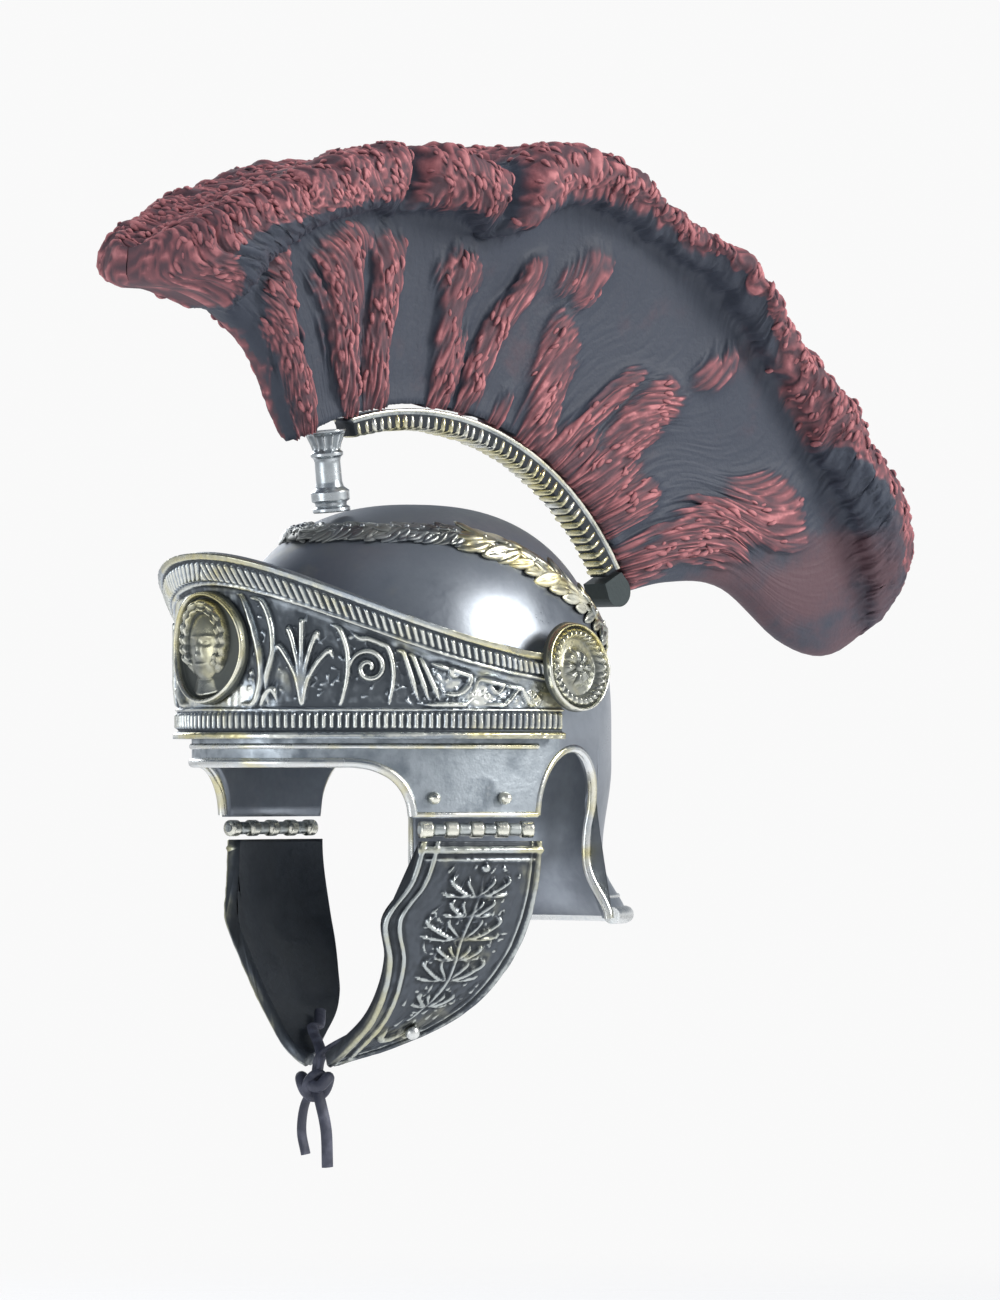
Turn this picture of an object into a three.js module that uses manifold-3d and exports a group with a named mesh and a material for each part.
// A small crested Roman helmet, as worn by a display figure of about one sixth life size.
// Millimetres, +Z up, the face towards -Y, the wearer's left towards +X.
// The origin is the centre of the head opening, level with the lower edge of the brow.
import * as THREE from "three";
import { mergeVertices } from "three/addons/utils/BufferGeometryUtils.js";
import Module from "manifold-3d";

// ---------------------------------------------------------------- driving dimensions
const GAP = 0.3; // clearance left between neighbouring pieces
const BOWL = {
  halfWidth: 15.4,
  halfLength: 18.6,
  browReach: 21.4, // how far the brow stands in front of the origin
  shoulderZ: 3.3, // the dome starts here
  crownZ: 22.9,
  fullness: 2.4, // exponent of the dome's superellipse
  wall: 0.9,
};
const TEMPLE = { frontTop: 47, frontLow: 59.5, rear: 94, bottomZ: -4.4 }; // angles in degrees from the front
const EAR = { from: 94, to: 124, archZ: 1.6 };
const NECK = { bottomZ: -13.2, pinchZ: -7.3, pinch: 0.955, flare: 1.08 };
const BAND = {
  halfWidth: 16.6,
  frontReach: 22.5,
  rearReach: 19.8,
  bottomZ: 2.4,
  sideTopZ: 9.6,
  peakZ: 18.4,
  endAngle: 99,
  wall: 0.8,
  cornice: 1.5, // how far the top edge overhangs
};
const FRONT_MEDALLION = {
  angle: 0,
  z: 10.2,
  halfWidth: 4.6,
  halfHeight: 4.9,
  out: GAP + 0.05,
  thickness: 0.9,
  lean: 0,
};
const SIDE_MEDALLION = {
  angle: 102,
  z: 8.6,
  halfWidth: 3.9,
  halfHeight: 3.9,
  out: 0.75,
  thickness: 0.8,
  lean: 0.22,
};
const GUARD = { topZ: -6.4, drop: 19.4, reach: 18.6, wall: 0.8 };
const HINGE = { z: -5.4, radius: 0.7, pinRadius: 0.45, knuckles: 6, from: 61, to: 93 };
const ARCH = { y: -0.68, z: 4.16, inner: 25.2, outer: 27.1, halfWidth: 1.3, front: 105.4, rear: 30 };
const PLUME = {
  base: 27.5, // radius of its root, about the arch's centre
  height: 23.1,
  halfWidth: 8.4,
  // where each end lies, in degrees on the arch, from the root (0) to the rim (1)
  front: [[0, 119.5], [0.45, 119.5], [0.75, 125.5], [0.9, 129.5], [1, 127.5]],
  rear: [[0, 24.5], [0.2, 22.4], [0.42, 17.8], [0.6, 9.2], [0.77, 7], [0.92, 11], [1, 15.5]],
  // how far the rim reaches out, and how far up the wall it starts, by share from front to rear
  reach: [
    [0, 1], [0.15, 0.95], [0.33, 0.955], [0.39, 0.905], [0.44, 1.03],
    [0.62, 1.09], [0.8, 1.15], [0.9, 1.25], [1, 1.38],
  ],
  rimStart: [
    [0, 0.62], [0.06, 0.75], [0.12, 0.8], [0.28, 0.8], [0.4, 0.79], [0.46, 0.86], [1, 0.88],
  ],
};
const POST = { footY: -9.0, footZ: 20.9, headY: -10.0, headZ: 30.0 };
const TIE = {
  y: -10.9,
  z: -27.6,
  strapRadius: 0.45,
  knotRadius: 1.5,
  tail: 6.5,
  stud: { y: -5.9, z: -22.6 },
};

const { sin, cos, abs, sqrt, hypot, max, min, PI } = Math;
const { degToRad, lerp, smoothstep } = THREE.MathUtils;

// ---------------------------------------------------------------- materials
function finish(colour, metalness, roughness) {
  return new THREE.MeshStandardMaterial({ color: colour, metalness, roughness });
}
const silver = finish(0xaeb4ba, 1, 0.28);
const steel = finish(0x6d747d, 1, 0.42);
const gilt = finish(0xb39a52, 1, 0.38);
const blackened = finish(0x22302c, 0.6, 0.6);
const plumeRed = finish(0x7a2428, 0, 0.85);
const leather = finish(0x2c2a40, 0, 0.7);

// ---------------------------------------------------------------- solids from grids
const wasm = await Module();
wasm.setup();

// A closed plate between two grids of points with the same rows and columns.
// With wrap, the last column is followed by the first.
function plate(outer, inner, wrap = false) {
  const rows = outer.length;
  const columns = outer[0].length;
  const points = [...outer.flat(), ...inner.flat()];
  const outerAt = (i, j) => i * columns + (j % columns);
  const innerAt = (i, j) => rows * columns + outerAt(i, j);
  const faces = [];
  const quad = (a, b, c, d) => faces.push(a, b, c, a, c, d);
  const lastColumn = wrap ? columns : columns - 1;
  for (let j = 0; j < lastColumn; j++) {
    for (let i = 0; i < rows - 1; i++) {
      quad(outerAt(i, j), outerAt(i, j + 1), outerAt(i + 1, j + 1), outerAt(i + 1, j));
      quad(innerAt(i, j), innerAt(i + 1, j), innerAt(i + 1, j + 1), innerAt(i, j + 1));
    }
    quad(outerAt(0, j), innerAt(0, j), innerAt(0, j + 1), outerAt(0, j + 1));
    const top = rows - 1;
    quad(outerAt(top, j), outerAt(top, j + 1), innerAt(top, j + 1), innerAt(top, j));
  }
  if (!wrap) {
    const last = columns - 1;
    for (let i = 0; i < rows - 1; i++) {
      quad(outerAt(i, 0), outerAt(i + 1, 0), innerAt(i + 1, 0), innerAt(i, 0));
      quad(outerAt(i, last), innerAt(i, last), innerAt(i + 1, last), outerAt(i + 1, last));
    }
  }
  return surface(points, faces);
}

// An indexed geometry with coincident points joined and collapsed faces left out.
function surface(points, faces) {
  const loose = new THREE.BufferGeometry();
  loose.setAttribute("position", new THREE.Float32BufferAttribute(points.flatMap((p) => [...p]), 3));
  loose.setIndex(faces);
  const joined = mergeVertices(loose, 1e-4);
  const index = [...joined.index.array];
  const kept = [];
  for (let i = 0; i < index.length; i += 3) {
    const [a, b, c] = index.slice(i, i + 3);
    if (a !== b && b !== c && a !== c) kept.push(a, b, c);
  }
  joined.setIndex(kept);
  joined.computeVertexNormals();
  return joined;
}

function toManifold(geometry) {
  const bare = geometry.clone();
  bare.deleteAttribute("normal");
  bare.deleteAttribute("uv");
  const merged = mergeVertices(bare, 1e-4);
  return new wasm.Manifold(
    new wasm.Mesh({
      numProp: 3,
      vertProperties: new Float32Array(merged.attributes.position.array),
      triVerts: new Uint32Array(merged.index.array),
    }),
  );
}

function fromManifold(solid) {
  const mesh = solid.getMesh();
  const geometry = new THREE.BufferGeometry();
  geometry.setAttribute("position", new THREE.BufferAttribute(mesh.vertProperties, 3));
  geometry.setIndex(new THREE.BufferAttribute(mesh.triVerts, 1));
  geometry.computeVertexNormals();
  return geometry;
}

function joined(geometries) {
  return fromManifold(geometries.map(toManifold).reduce((whole, next) => whole.add(next)));
}

// A smooth curve through [position, value] pairs, read by position.
function profile(pairs) {
  return (at) => {
    const clamped = min(max(at, min(pairs[0][0], pairs.at(-1)[0])), max(pairs[0][0], pairs.at(-1)[0]));
    const ascending = pairs[0][0] < pairs.at(-1)[0] ? pairs : [...pairs].reverse();
    let k = 0;
    while (k < ascending.length - 2 && clamped > ascending[k + 1][0]) k++;
    const [x0, y0] = ascending[k];
    const [x1, y1] = ascending[k + 1];
    const slope = (m) => {
      const before = ascending[max(m - 1, 0)];
      const after = ascending[min(m + 1, ascending.length - 1)];
      return (after[1] - before[1]) / (after[0] - before[0]);
    };
    const h = x1 - x0;
    const s = (clamped - x0) / h;
    return (
      (1 + 2 * s) * (1 - s) ** 2 * y0 +
      s * (1 - s) ** 2 * h * slope(k) +
      s * s * (3 - 2 * s) * y1 +
      s * s * (s - 1) * h * slope(k + 1)
    );
  };
}

// ---------------------------------------------------------------- bowl
function neckScale(degrees, z) {
  const behind = smoothstep(abs(degrees), 95, 125);
  if (z > 0) return 1;
  const pinched = lerp(1, NECK.pinch, smoothstep(z / NECK.pinchZ, 0, 1));
  const flared = (NECK.flare - NECK.pinch) * smoothstep(-z, -NECK.pinchZ, -NECK.bottomZ) ** 1.5;
  return lerp(1, pinched + flared, behind);
}

// A point of the bowl at an angle from the front, an inset from the outside and a height.
function bowlPoint(degrees, z, scale, inset) {
  const t = degToRad(degrees);
  const brow = 1 - smoothstep(z, 2.6, 8.4);
  const front = lerp(BOWL.halfLength, BOWL.browReach, brow);
  const length = cos(t) > 0 ? front : BOWL.halfLength;
  const grow = scale * neckScale(degrees, z);
  return new THREE.Vector3(
    (BOWL.halfWidth - inset) * grow * sin(t),
    -(length - inset) * grow * cos(t),
    z,
  );
}

function lowerEdge(degrees) {
  const t = abs(degrees);
  if (t < TEMPLE.frontTop) return 0;
  if (t < TEMPLE.frontLow) {
    const share = (t - TEMPLE.frontTop) / (TEMPLE.frontLow - TEMPLE.frontTop);
    return TEMPLE.bottomZ * (1 - sqrt(1 - share ** 2.2));
  }
  if (t <= EAR.from) return TEMPLE.bottomZ;
  if (t < EAR.to) {
    const middle = (EAR.from + EAR.to) / 2;
    const share = (t - middle) / (EAR.to - middle);
    const foot = TEMPLE.bottomZ;
    return foot + (EAR.archZ - foot) * sqrt(1 - share * share);
  }
  return NECK.bottomZ;
}

function bowlAngles() {
  const half = [];
  const stretch = (from, to, steps) => {
    for (let i = 0; i < steps; i++) half.push(lerp(from, to, i / steps));
  };
  stretch(0, TEMPLE.frontTop, 6);
  stretch(TEMPLE.frontTop, TEMPLE.frontLow, 5);
  stretch(TEMPLE.frontLow, EAR.from, 5);
  stretch(EAR.from, EAR.to, 10);
  stretch(EAR.to, 180, 7);
  return [...half.slice(1).reverse().map((t) => -t), ...half, 180];
}

function bowl() {
  const domeRows = 8;
  const skirtRows = 5;
  const angles = bowlAngles();
  const skin = (inset) => {
    const crown = BOWL.crownZ - inset;
    const rows = [];
    for (let i = 0; i < skirtRows; i++)
      rows.push(angles.map((t) => bowlPoint(t, lerp(lowerEdge(t), BOWL.shoulderZ, i / skirtRows), 1, inset)));
    for (let i = 0; i <= domeRows; i++) {
      const phi = (PI / 2) * (i / domeRows);
      const scale = i === domeRows ? 0 : cos(phi) ** (2 / BOWL.fullness);
      const z = BOWL.shoulderZ + (crown - BOWL.shoulderZ) * sin(phi) ** (2 / BOWL.fullness);
      rows.push(angles.map((t) => bowlPoint(t, z, scale, inset)));
    }
    return rows;
  };
  return plate(skin(0), skin(BOWL.wall), true);
}

// ---------------------------------------------------------------- brow band and medallions
function bandTop(degrees) {
  const rise = (1 + cos(degToRad(1.8 * min(abs(degrees), 100)))) / 2;
  return BAND.sideTopZ + (BAND.peakZ - BAND.sideTopZ) * rise;
}

function bandPoint(degrees, out, z) {
  const t = degToRad(degrees);
  const length = cos(t) > 0 ? BAND.frontReach : BAND.rearReach;
  return new THREE.Vector3((BAND.halfWidth + out) * sin(t), -(length + out) * cos(t), z);
}

function browBand() {
  const columns = 48;
  const angles = Array.from({ length: columns + 1 }, (_, i) => BAND.endAngle * ((2 * i) / columns - 1));
  const overhang = (t) => lerp(BAND.cornice, 0.2, smoothstep(abs(t), 76, 88));
  const outside = [
    (t) => [0.45, BAND.bottomZ],
    (t) => [0.45, BAND.bottomZ + 0.6],
    (t) => [0, BAND.bottomZ + 0.9],
    (t) => [0, bandTop(t) - 3.2],
    (t) => [0.2 * overhang(t), bandTop(t) - 2.9],
    (t) => [0.87 * overhang(t), bandTop(t) - 0.9],
    (t) => [overhang(t), bandTop(t)],
  ];
  const inside = [
    (t) => [-BAND.wall, BAND.bottomZ],
    (t) => [-BAND.wall, BAND.bottomZ + 0.6],
    (t) => [-BAND.wall, BAND.bottomZ + 0.9],
    (t) => [-BAND.wall, bandTop(t) - 3.2],
    (t) => [0.2 * overhang(t) - BAND.wall, bandTop(t) - 2.7],
    (t) => [0.8 * overhang(t) - BAND.wall, bandTop(t) - 0.7],
    (t) => [overhang(t) - BAND.wall - 0.1, bandTop(t)],
  ];
  const skin = (rows) => rows.map((row) => angles.map((t) => bandPoint(t, ...row(t))));
  return plate(skin(outside), skin(inside));
}

// An oval boss with a raised border, wrapped on the band's curve.
function medallion({ angle, z, halfWidth, halfHeight, out, thickness, lean, side = 1 }) {
  const t0 = degToRad(angle);
  const reach = cos(t0) > 0.3 ? BAND.frontReach : BAND.rearReach;
  const perDegree = hypot(BAND.halfWidth * cos(t0), reach * sin(t0)) * degToRad(1);
  const place = (share, turn, height) => {
    const across = share * halfWidth * cos(turn);
    const up = share * halfHeight * sin(turn);
    const p = bandPoint(angle + across / perDegree, out + height - lean * max(up, 0), z + up);
    p.x = side * p.x;
    return p;
  };
  const border = [
    [1, 0.55 * thickness],
    [0.93, thickness],
    [0.8, thickness],
    [0.74, 0.5 * thickness],
    [0.4, 0.75 * thickness],
    [0, 0.95 * thickness],
  ];
  const segments = 24;
  const turns = Array.from({ length: segments }, (_, i) => (side * 2 * PI * i) / segments);
  const front = border.map(([share, height]) => turns.map((a) => place(share, a, height)));
  const back = border.map(([share]) => turns.map((a) => place(share, a, 0)));
  return plate(front, back, true);
}

// ---------------------------------------------------------------- cheek guards and hinges
const guardFront = profile([
  [-25.7, -10.9],
  [-24.3, -11.0],
  [-22.1, -10.6],
  [-19.4, -10.7],
  [-16.7, -11.1],
  [-13.0, -12.1],
  [-10.0, -10.7],
  [-6.4, -9.9],
]);
const guardRear = profile([
  [-25.7, -10.3],
  [-25.1, -9.0],
  [-24.3, -6.9],
  [-23.5, -5.2],
  [-22.3, -3.1],
  [-20.5, -1.1],
  [-18.4, 0.1],
  [-15.9, 1.0],
  [-13.2, 1.4],
  [-6.4, 1.6],
]);

// How far the jaw line has drawn in at a height, from 1 at the hinge to 0 under the chin.
function jaw(z) {
  const w = min(max((GUARD.topZ - z) / GUARD.drop, 0), 0.999);
  return (1 - w ** 1.8) ** 0.588;
}

function guardPoint(y, z, side) {
  const x = BOWL.halfWidth * sqrt(max(1 - (y / GUARD.reach) ** 2, 0)) * jaw(z);
  return new THREE.Vector3(side * x, y, z);
}

function cheekGuard(side) {
  const rows = 16;
  const columns = 8;
  const lowest = GUARD.topZ - GUARD.drop * 0.985;
  const skin = (inset) =>
    Array.from({ length: rows + 1 }, (_, i) => {
      const z = lowest + (GUARD.topZ - lowest) * (1 - cos((PI / 2) * (i / rows)));
      return Array.from({ length: columns + 1 }, (_, j) => {
        const y = lerp(guardFront(z), guardRear(z), side > 0 ? j / columns : 1 - j / columns);
        const p = guardPoint(y, z, side);
        if (!inset) return p;
        return p.addScaledVector(guardNormal(y, z, side), -inset);
      });
    });
  return plate(skin(0), skin(GUARD.wall));
}

function rod(from, to, radius, sides) {
  const along = new THREE.Vector3().subVectors(to, from);
  const geometry = new THREE.CylinderGeometry(radius, radius, along.length(), sides);
  const upright = new THREE.Vector3(0, 1, 0);
  geometry.applyQuaternion(new THREE.Quaternion().setFromUnitVectors(upright, along.clone().normalize()));
  geometry.translate(...new THREE.Vector3().addVectors(from, to).multiplyScalar(0.5));
  return geometry;
}

function hinge(side) {
  const end = (degrees) => {
    const p = bowlPoint(degrees, HINGE.z, 1, BOWL.wall / 2);
    return new THREE.Vector3(side * (p.x + 0.15), p.y, HINGE.z);
  };
  const from = end(HINGE.from);
  const to = end(HINGE.to);
  const at = (share) => new THREE.Vector3().lerpVectors(from, to, share);
  const pieces = [rod(from, to, HINGE.pinRadius, 8)];
  const pitch = 1 / HINGE.knuckles;
  for (let i = 0; i < HINGE.knuckles; i++)
    pieces.push(rod(at((i + 0.12) * pitch), at((i + 0.88) * pitch), HINGE.radius, 10));
  return joined(pieces);
}

function rivet(radius, height) {
  const dome = [[0, -0.1], [radius, -0.1], [radius, 0], [0.75 * radius, 0.7 * height], [0, height]];
  return new THREE.LatheGeometry(dome.map(([r, y]) => new THREE.Vector2(r, y)), 10);
}

function setOn(geometry, point, outward, lift) {
  const turn = new THREE.Quaternion().setFromUnitVectors(new THREE.Vector3(0, 1, 0), outward);
  geometry.applyQuaternion(turn);
  geometry.translate(...point.clone().addScaledVector(outward, lift));
  return geometry;
}

function templeRivet(degrees, side) {
  const point = bowlPoint(degrees, -2.7, 1, 0);
  const outward = new THREE.Vector3(point.x / BOWL.halfWidth ** 2, point.y / BOWL.browReach ** 2, 0);
  outward.normalize();
  point.x = side * point.x;
  outward.x = side * outward.x;
  return setOn(rivet(0.55, 0.5), point, outward, GAP + 0.1);
}

// The outward direction of a cheek guard's face.
function guardNormal(y, z, side) {
  const step = 0.05;
  const alongY = guardPoint(y + step, z, side).sub(guardPoint(y - step, z, side));
  const alongZ = guardPoint(y, z + step, side).sub(guardPoint(y, z - step, side));
  return alongY.cross(alongZ).normalize().multiplyScalar(side);
}

function tieStud(side) {
  const { y, z } = TIE.stud;
  return setOn(rivet(0.65, 0.6), guardPoint(y, z, side), guardNormal(y, z, side), GAP + 0.15);
}

// ---------------------------------------------------------------- wreath
function wreathHeight(degrees) {
  return 10.8 + 9.4 / (1 + Math.exp((abs(degrees) - 118) / 14));
}

function domePoint(degrees, z, lift) {
  const share = min(max((z - BOWL.shoulderZ) / (BOWL.crownZ - BOWL.shoulderZ), 0), 1);
  const scale = (1 - share ** BOWL.fullness) ** (1 / BOWL.fullness);
  return bowlPoint(degrees, z, scale, -lift);
}

function domeFrame(degrees, z) {
  const step = 0.4;
  const along = domePoint(degrees + step, wreathHeight(degrees + step), 0)
    .sub(domePoint(degrees - step, wreathHeight(degrees - step), 0))
    .normalize();
  const up = domePoint(degrees, z + 0.2, 0).sub(domePoint(degrees, z - 0.2, 0)).normalize();
  const outward = new THREE.Vector3().crossVectors(along, up).normalize();
  const across = new THREE.Vector3().crossVectors(outward, along).normalize();
  return { along, across, outward };
}

function wreath() {
  const lift = GAP + 0.35;
  const stemSides = 6;
  const stemSteps = 72;
  const rings = [];
  for (let i = 0; i < stemSteps; i++) {
    const t = -180 + (360 * i) / stemSteps;
    const frame = domeFrame(t, wreathHeight(t));
    const centre = domePoint(t, wreathHeight(t), 0).addScaledVector(frame.outward, lift);
    rings.push(
      Array.from({ length: stemSides }, (_, k) => {
        const turn = (2 * PI * k) / stemSides;
        return centre
          .clone()
          .addScaledVector(frame.across, 0.28 * cos(turn))
          .addScaledVector(frame.outward, 0.28 * sin(turn));
      }),
    );
  }
  const points = rings.flat();
  const faces = [];
  for (let i = 0; i < stemSteps; i++)
    for (let k = 0; k < stemSides; k++) {
      const a = i * stemSides + k;
      const b = i * stemSides + ((k + 1) % stemSides);
      const c = ((i + 1) % stemSteps) * stemSides + ((k + 1) % stemSides);
      const d = ((i + 1) % stemSteps) * stemSides + k;
      faces.push(a, b, c, a, c, d);
    }
  const pieces = [surface(points, faces)];
  const leafPairs = 22;
  for (let i = 0; i < leafPairs; i++)
    for (const edge of [-1, 1]) {
      const t = -172 + (344 * i) / (leafPairs - 1);
      const frame = domeFrame(t, wreathHeight(t));
      const towards = t < 0 ? 1 : -1; // leaves point to the front
      const leaf = new THREE.OctahedronGeometry(1, 0);
      leaf.scale(1.45, 0.62, 0.3);
      leaf.rotateZ(towards * edge * 0.5);
      const turn = new THREE.Matrix4().makeBasis(frame.along, frame.across, frame.outward);
      leaf.applyMatrix4(turn);
      const centre = domePoint(t, wreathHeight(t), 0)
        .addScaledVector(frame.outward, lift + 0.05)
        .addScaledVector(frame.across, edge * 0.62);
      leaf.translate(...centre);
      pieces.push(leaf);
    }
  return joined(pieces);
}

// ---------------------------------------------------------------- crest
function archPoint(degrees, radius, x) {
  const t = degToRad(degrees);
  return new THREE.Vector3(x, ARCH.y + radius * cos(t), ARCH.z + radius * sin(t));
}

function crestArch() {
  const steps = 30;
  const angles = Array.from({ length: steps + 1 }, (_, i) => lerp(ARCH.front, ARCH.rear, i / steps));
  const skin = (x) => [ARCH.outer, ARCH.inner].map((radius) => angles.map((t) => archPoint(t, radius, x)));
  return plate(skin(-ARCH.halfWidth), skin(ARCH.halfWidth));
}

function archFoot() {
  const outline = new THREE.Shape();
  outline.moveTo(ARCH.inner - 0.5, 0);
  outline.lineTo(ARCH.outer - 0.2, 0);
  outline.lineTo(ARCH.outer + 0.05, 1.1);
  outline.absarc(ARCH.inner + 0.6, 1.4, 1.35, 0, PI, false);
  const block = new THREE.ExtrudeGeometry(outline, {
    depth: 2 * ARCH.halfWidth + 0.4,
    bevelEnabled: false,
    curveSegments: 8,
  });
  block.translate(0, 0, -ARCH.halfWidth - 0.2);
  // The outline's x is the radius and its y runs on past the arch's rear end.
  const t = degToRad(ARCH.rear - 0.7);
  const radial = new THREE.Vector3(0, cos(t), sin(t));
  const onward = new THREE.Vector3(0, sin(t), -cos(t));
  block.applyMatrix4(new THREE.Matrix4().makeBasis(radial, onward, new THREE.Vector3(1, 0, 0).negate()));
  block.translate(0, ARCH.y, ARCH.z);
  return block;
}

function crestPost() {
  const length = hypot(POST.headY - POST.footY, POST.headZ - POST.footZ);
  const outline = [
    [0, 1.2],
    [1.6, 1.2],
    [1.6, 1.6],
    [1.3, 1.8],
    [1.65, 2.1],
    [1.65, 3.0],
    [1.2, 3.4],
    [1.15, 5.9],
    [1.35, 6.4],
    [1.2, 6.7],
    [1.75, 8.2],
    [1.8, length - 0.8],
    [0, length - 0.8],
  ];
  const column = new THREE.LatheGeometry(outline.map(([r, y]) => new THREE.Vector2(r, y)), 16);
  const axis = new THREE.Vector3(0, POST.headY - POST.footY, POST.headZ - POST.footZ).normalize();
  return setOn(column, new THREE.Vector3(0, POST.footY, POST.footZ), axis, 0);
}

// The plume's outline across the helmet: half width by height above the arch, both as shares.
const OUTLINE_RIM = 0.7; // the height at which it widens into the rim
const plumeSection = [
  [0.17, 0],
  [0.22, 0.11],
  [0.27, 0.32],
  [0.36, 0.54],
  [0.52, 0.67],
  [0.78, 0.74],
  [0.95, 0.8],
  [1.0, 0.87],
  [0.9, 0.95],
  [0.64, 1.0],
  [0.32, 0.985],
  [0, 0.965],
];

function plume() {
  const steps = 48;
  const endRound = 0.07; // share of the length over which each end closes
  const frontEnd = profile(PLUME.front);
  const rearEnd = profile(PLUME.rear);
  const reach = profile(PLUME.reach);
  const rimStart = profile(PLUME.rimStart);
  // The outline's heights move up or down so that the rim starts where it should.
  const raised = (share, height) => {
    if (height < OUTLINE_RIM) return (height * rimStart(share)) / OUTLINE_RIM;
    return 1 - ((1 - height) * (1 - rimStart(share))) / (1 - OUTLINE_RIM);
  };
  const place = (share, [across, height], side) => {
    const up = raised(share, height);
    const fromEnd = min(share, 1 - share) / endRound;
    const closing = fromEnd >= 1 ? 1 : sqrt(1 - (1 - fromEnd) ** 2);
    const lobes = 1 + 0.08 * up * up * cos(share * 2 * PI * 5.5 + 0.6);
    const angle = lerp(frontEnd(up), rearEnd(up), share);
    const radius = PLUME.base + PLUME.height * up * lerp(1, reach(share), up);
    return archPoint(angle, radius, side * PLUME.halfWidth * across * closing * lobes);
  };
  const rising = plumeSection.map((point) => [point, 1]);
  const falling = [...plumeSection].reverse().slice(1).map((point) => [point, -1]);
  const around = [...rising, ...falling];
  // The steps are closer together at the two ends, where the plume rounds off.
  const shares = Array.from({ length: steps + 1 }, (_, i) => {
    const even = i / steps;
    return even - (0.36 * sin(2 * PI * even)) / (2 * PI);
  });
  const points = shares.flatMap((share) => around.map(([point, side]) => place(share, point, side)));
  const faces = [];
  const count = around.length;
  for (let i = 0; i < steps; i++)
    for (let k = 0; k < count; k++) {
      const a = i * count + k;
      const b = i * count + ((k + 1) % count);
      faces.push(a, b + count, b, a, a + count, b + count);
    }
  return surface(points, faces);
}

// ---------------------------------------------------------------- chin tie
function strand(points, radius) {
  const curve = new THREE.CatmullRomCurve3(points);
  const section = new THREE.Shape().absarc(0, 0, radius, 0, 2 * PI, false);
  return new THREE.ExtrudeGeometry(section, { steps: 8, extrudePath: curve, curveSegments: 4 });
}

function chinTie() {
  const knot = new THREE.SphereGeometry(TIE.knotRadius, 12, 8);
  knot.scale(1.15, 0.75, 0.95);
  knot.translate(0, TIE.y, TIE.z);
  // Each strap lies inside its guard, under the stud, and comes out between the two tips.
  const depth = GUARD.wall + GAP + TIE.strapRadius + 0.1;
  const inside = (y, z, side) => guardPoint(y, z, side).addScaledVector(guardNormal(y, z, side), -depth);
  const strap = (side) =>
    strand(
      [
        inside(TIE.stud.y, TIE.stud.z, side),
        inside(-7.4, -23.9, side),
        inside(-8.5, -24.1, side),
        new THREE.Vector3(side * 0.3, -10.1, -24.6),
        new THREE.Vector3(side * 0.15, -10.5, -25.8),
        new THREE.Vector3(0, TIE.y, TIE.z),
      ],
      TIE.strapRadius,
    );
  const tail = (side) =>
    strand(
      [
        new THREE.Vector3(0, TIE.y, TIE.z),
        new THREE.Vector3(side * 1.1, TIE.y - 0.3, TIE.z - 1.6),
        new THREE.Vector3(side * 1.7, TIE.y - 0.2, TIE.z - TIE.tail * 0.6),
        new THREE.Vector3(side * 1.5, TIE.y + 0.1, TIE.z - TIE.tail - side * 0.5),
      ],
      TIE.strapRadius,
    );
  return joined([knot, strap(1), strap(-1), tail(1), tail(-1)]);
}

// ---------------------------------------------------------------- assembly
const helmet = new THREE.Group();
helmet.name = "roman_helmet";

function add(name, geometry, material) {
  const mesh = new THREE.Mesh(geometry, material);
  mesh.name = name;
  helmet.add(mesh);
}

add("bowl", bowl(), silver);
add("brow_band", browBand(), gilt);
add("laurel_wreath", wreath(), gilt);
add("front_medallion", medallion(FRONT_MEDALLION), gilt);
const sides = [["left", 1], ["right", -1]];
for (const [word, side] of sides) {
  add(`side_medallion_${word}`, medallion({ ...SIDE_MEDALLION, side }), gilt);
  add(`cheek_guard_${word}`, cheekGuard(side), steel);
  add(`cheek_hinge_${word}`, hinge(side), gilt);
  add(`temple_rivet_front_${word}`, templeRivet(64.5, side), gilt);
  add(`temple_rivet_rear_${word}`, templeRivet(83, side), gilt);
  add(`tie_stud_${word}`, tieStud(side), silver);
}
add("crest_post", crestPost(), silver);
add("crest_arch", crestArch(), gilt);
add("crest_arch_foot", archFoot(), blackened);
add("plume", plume(), plumeRed);
add("chin_tie", chinTie(), leather);

export default helmet;
